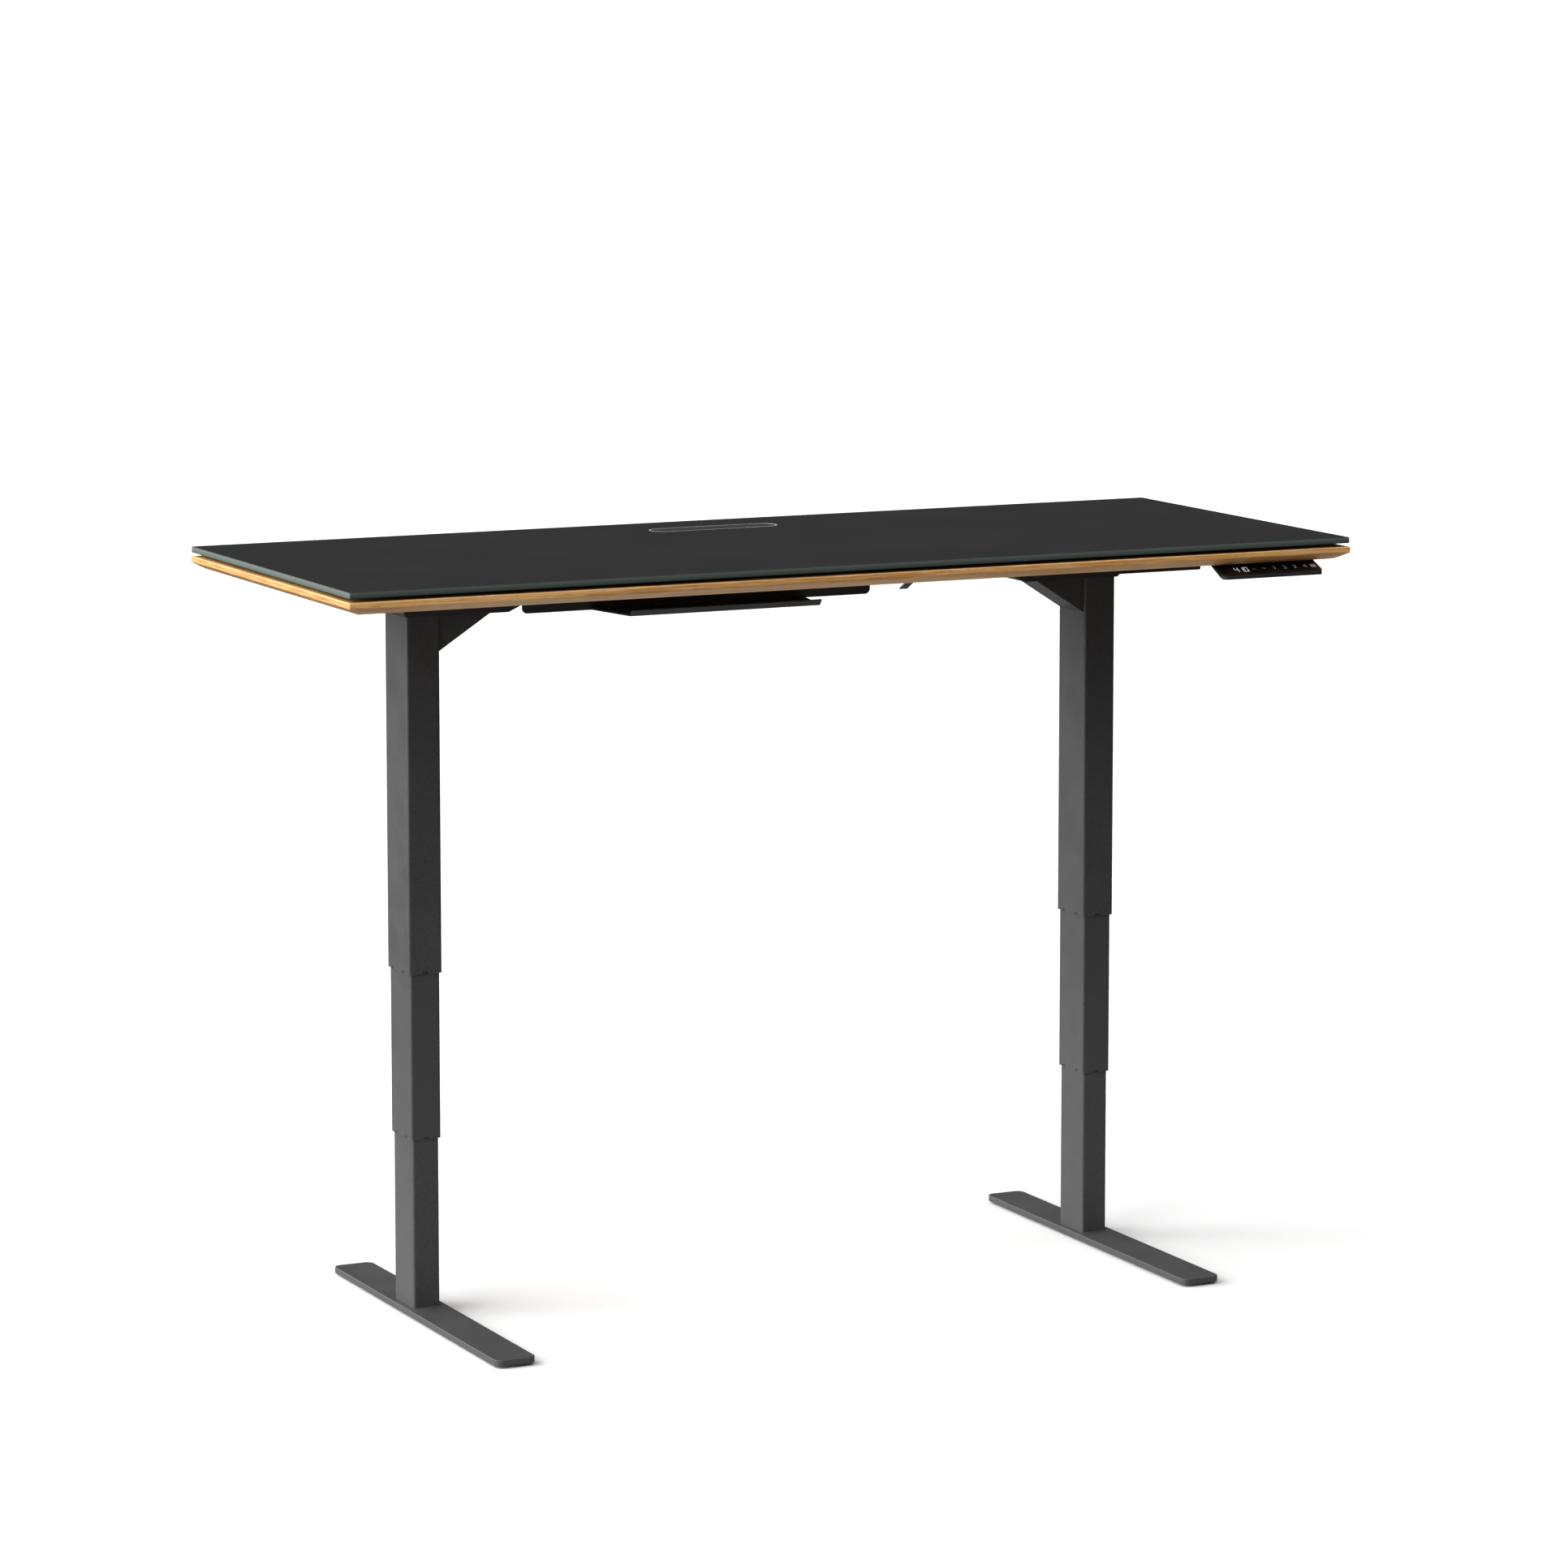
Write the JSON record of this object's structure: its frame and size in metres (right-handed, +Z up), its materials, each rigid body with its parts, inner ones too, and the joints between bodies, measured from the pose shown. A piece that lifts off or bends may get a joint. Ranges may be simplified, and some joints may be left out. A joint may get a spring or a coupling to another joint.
{
  "type": "height adjustable standing desk",
  "caption": "Height adjustable standing desk with a black glass top over a bevelled wood panel, two telescopic legs on flat bar feet, cable tray and keypad.",
  "frame": {"origin": "on the floor, under the middle of the worktop", "axes": "+X along the worktop's length to the user's right, +Y to the rear, +Z up"},
  "size_m": [1.526, 0.6066, 1.064],
  "materials": {
    "black_glass": "satin etched, back painted black",
    "laminated_wood": "clear satin lacquer",
    "powder_coat": "fine texture powder coat",
    "black_sheet": "satin black powder coat",
    "black_plastic": "moulded, fine spark texture",
    "gloss_black": "gloss",
    "display": "smoked window",
    "satin_aluminium": "satin anodised",
    "zinc_steel": "zinc plated",
    "spindle_steel": "rolled and greased",
    "motor_steel": "satin",
    "nut_plastic": "natural acetal",
    "slide_plastic": "black acetal",
    "circuit_board": "solder mask"
  },
  "bodies": {
    "left_base": {"left_foot_bar": "powder_coat", "left_foot_screws": "zinc_steel", "left_inner_nut": "nut_plastic", "left_inner_top_guide": "slide_plastic", "left_inner_tube": "powder_coat", "left_levellers": "black_plastic"},
    "left_stage": {"left_middle_base_guide": "slide_plastic", "left_middle_nut": "nut_plastic", "left_middle_top_guide": "slide_plastic", "left_middle_tube": "powder_coat"},
    "worktop": {"cable_hooks": "black_sheet", "cable_tray": "black_sheet", "control_board": "circuit_board", "control_box_case": "black_plastic", "control_box_lid": "black_plastic", "control_sockets": "black_plastic", "display_window": "display", "frame_screws": "zinc_steel", "front_rail": "powder_coat", "glass_spacers": "black_plastic", "glass_top": "black_glass", "keypad_case": "black_plastic", "keypad_face": "gloss_black", "left_gear_motor": "motor_steel", "left_gusset": "powder_coat", "left_head": "black_sheet", "left_outer_base_guide": "slide_plastic", "left_outer_tube": "powder_coat", "left_side_arms": "black_sheet", "port_liner": "satin_aluminium", "rear_rail": "powder_coat", "right_gear_motor": "motor_steel", "right_gusset": "powder_coat", "right_head": "black_sheet", "right_outer_base_guide": "slide_plastic", "right_outer_tube": "powder_coat", "right_side_arms": "black_sheet", "wood_panel": "laminated_wood"},
    "right_stage": {"right_middle_base_guide": "slide_plastic", "right_middle_nut": "nut_plastic", "right_middle_top_guide": "slide_plastic", "right_middle_tube": "powder_coat"},
    "right_base": {"right_foot_bar": "powder_coat", "right_foot_screws": "zinc_steel", "right_inner_nut": "nut_plastic", "right_inner_top_guide": "slide_plastic", "right_inner_tube": "powder_coat", "right_levellers": "black_plastic"},
    "left_upper_screw": {"left_drive_spindle": "spindle_steel"},
    "left_lower_screw": {"left_hollow_spindle": "spindle_steel"},
    "right_upper_screw": {"right_drive_spindle": "spindle_steel"},
    "right_lower_screw": {"right_hollow_spindle": "spindle_steel"},
    "port_cover": {"cable_cover": "black_plastic"},
    "key_down_cap": {"key_down": "gloss_black"},
    "key_memory_1_cap": {"key_memory_1": "gloss_black"},
    "key_memory_2_cap": {"key_memory_2": "gloss_black"},
    "key_memory_3_cap": {"key_memory_3": "gloss_black"},
    "key_memory_4_cap": {"key_memory_4": "gloss_black"},
    "key_up_cap": {"key_up": "gloss_black"}
  },
  "joints": [
    {"name": "left_lower_stage", "type": "slide", "parent": "left_base", "child": "left_stage", "axis": [0, 0, 1], "range_m": [-0.208, 0.1155]},
    {"name": "left_upper_stage", "type": "slide", "parent": "left_stage", "child": "worktop", "axis": [0, 0, 1], "range_m": [-0.208, 0.1155]},
    {"name": "right_upper_stage", "type": "slide", "parent": "worktop", "child": "right_stage", "axis": [0, 0, -1], "range_m": [-0.208, 0.1155]},
    {"name": "right_lower_stage", "type": "slide", "parent": "right_stage", "child": "right_base", "axis": [0, 0, -1], "range_m": [-0.208, 0.1155]},
    {"name": "left_upper_screw_turn", "type": "hinge", "parent": "worktop", "child": "left_upper_screw", "pos_m": [-0.531, 0.052, 0.99], "axis": [0, 0, 1], "range_deg": [-7488, 4158]},
    {"name": "left_lower_screw_turn", "type": "hinge", "parent": "left_stage", "child": "left_lower_screw", "pos_m": [-0.531, 0.052, 0.757], "axis": [0, 0, 1], "range_deg": [-7488, 4158]},
    {"name": "right_upper_screw_turn", "type": "hinge", "parent": "worktop", "child": "right_upper_screw", "pos_m": [0.531, 0.052, 0.99], "axis": [0, 0, 1], "range_deg": [-7488, 4158]},
    {"name": "right_lower_screw_turn", "type": "hinge", "parent": "right_stage", "child": "right_lower_screw", "pos_m": [0.531, 0.052, 0.757], "axis": [0, 0, 1], "range_deg": [-7488, 4158]},
    {"name": "port_cover_lift", "type": "slide", "parent": "worktop", "child": "port_cover", "axis": [0, 0, 1], "range_m": [0, 0.06]},
    {"name": "key_up_press", "type": "slide", "parent": "worktop", "child": "key_up_cap", "axis": [0, 0.3923, -0.9198], "range_m": [0, 0.0004], "stiffness_N_per_m": 800},
    {"name": "key_down_press", "type": "slide", "parent": "worktop", "child": "key_down_cap", "axis": [0, 0.3923, -0.9198], "range_m": [0, 0.0004], "stiffness_N_per_m": 800},
    {"name": "key_memory_1_press", "type": "slide", "parent": "worktop", "child": "key_memory_1_cap", "axis": [0, 0.3923, -0.9198], "range_m": [0, 0.0004], "stiffness_N_per_m": 800},
    {"name": "key_memory_2_press", "type": "slide", "parent": "worktop", "child": "key_memory_2_cap", "axis": [0, 0.3923, -0.9198], "range_m": [0, 0.0004], "stiffness_N_per_m": 800},
    {"name": "key_memory_3_press", "type": "slide", "parent": "worktop", "child": "key_memory_3_cap", "axis": [0, 0.3923, -0.9198], "range_m": [0, 0.0004], "stiffness_N_per_m": 800},
    {"name": "key_memory_4_press", "type": "slide", "parent": "worktop", "child": "key_memory_4_cap", "axis": [0, 0.3923, -0.9198], "range_m": [0, 0.0004], "stiffness_N_per_m": 800}
  ],
  "couplings": [
    {"joint": "left_upper_stage", "follows": "left_lower_stage", "ratio": 1},
    {"joint": "right_upper_stage", "follows": "left_lower_stage", "ratio": 1},
    {"joint": "right_lower_stage", "follows": "left_lower_stage", "ratio": 1},
    {"joint": "left_upper_screw_turn", "follows": "left_lower_stage", "rad_per_m": 628.32},
    {"joint": "left_lower_screw_turn", "follows": "left_lower_stage", "rad_per_m": 628.32},
    {"joint": "right_upper_screw_turn", "follows": "left_lower_stage", "rad_per_m": 628.32},
    {"joint": "right_lower_screw_turn", "follows": "left_lower_stage", "rad_per_m": 628.32}
  ]
}
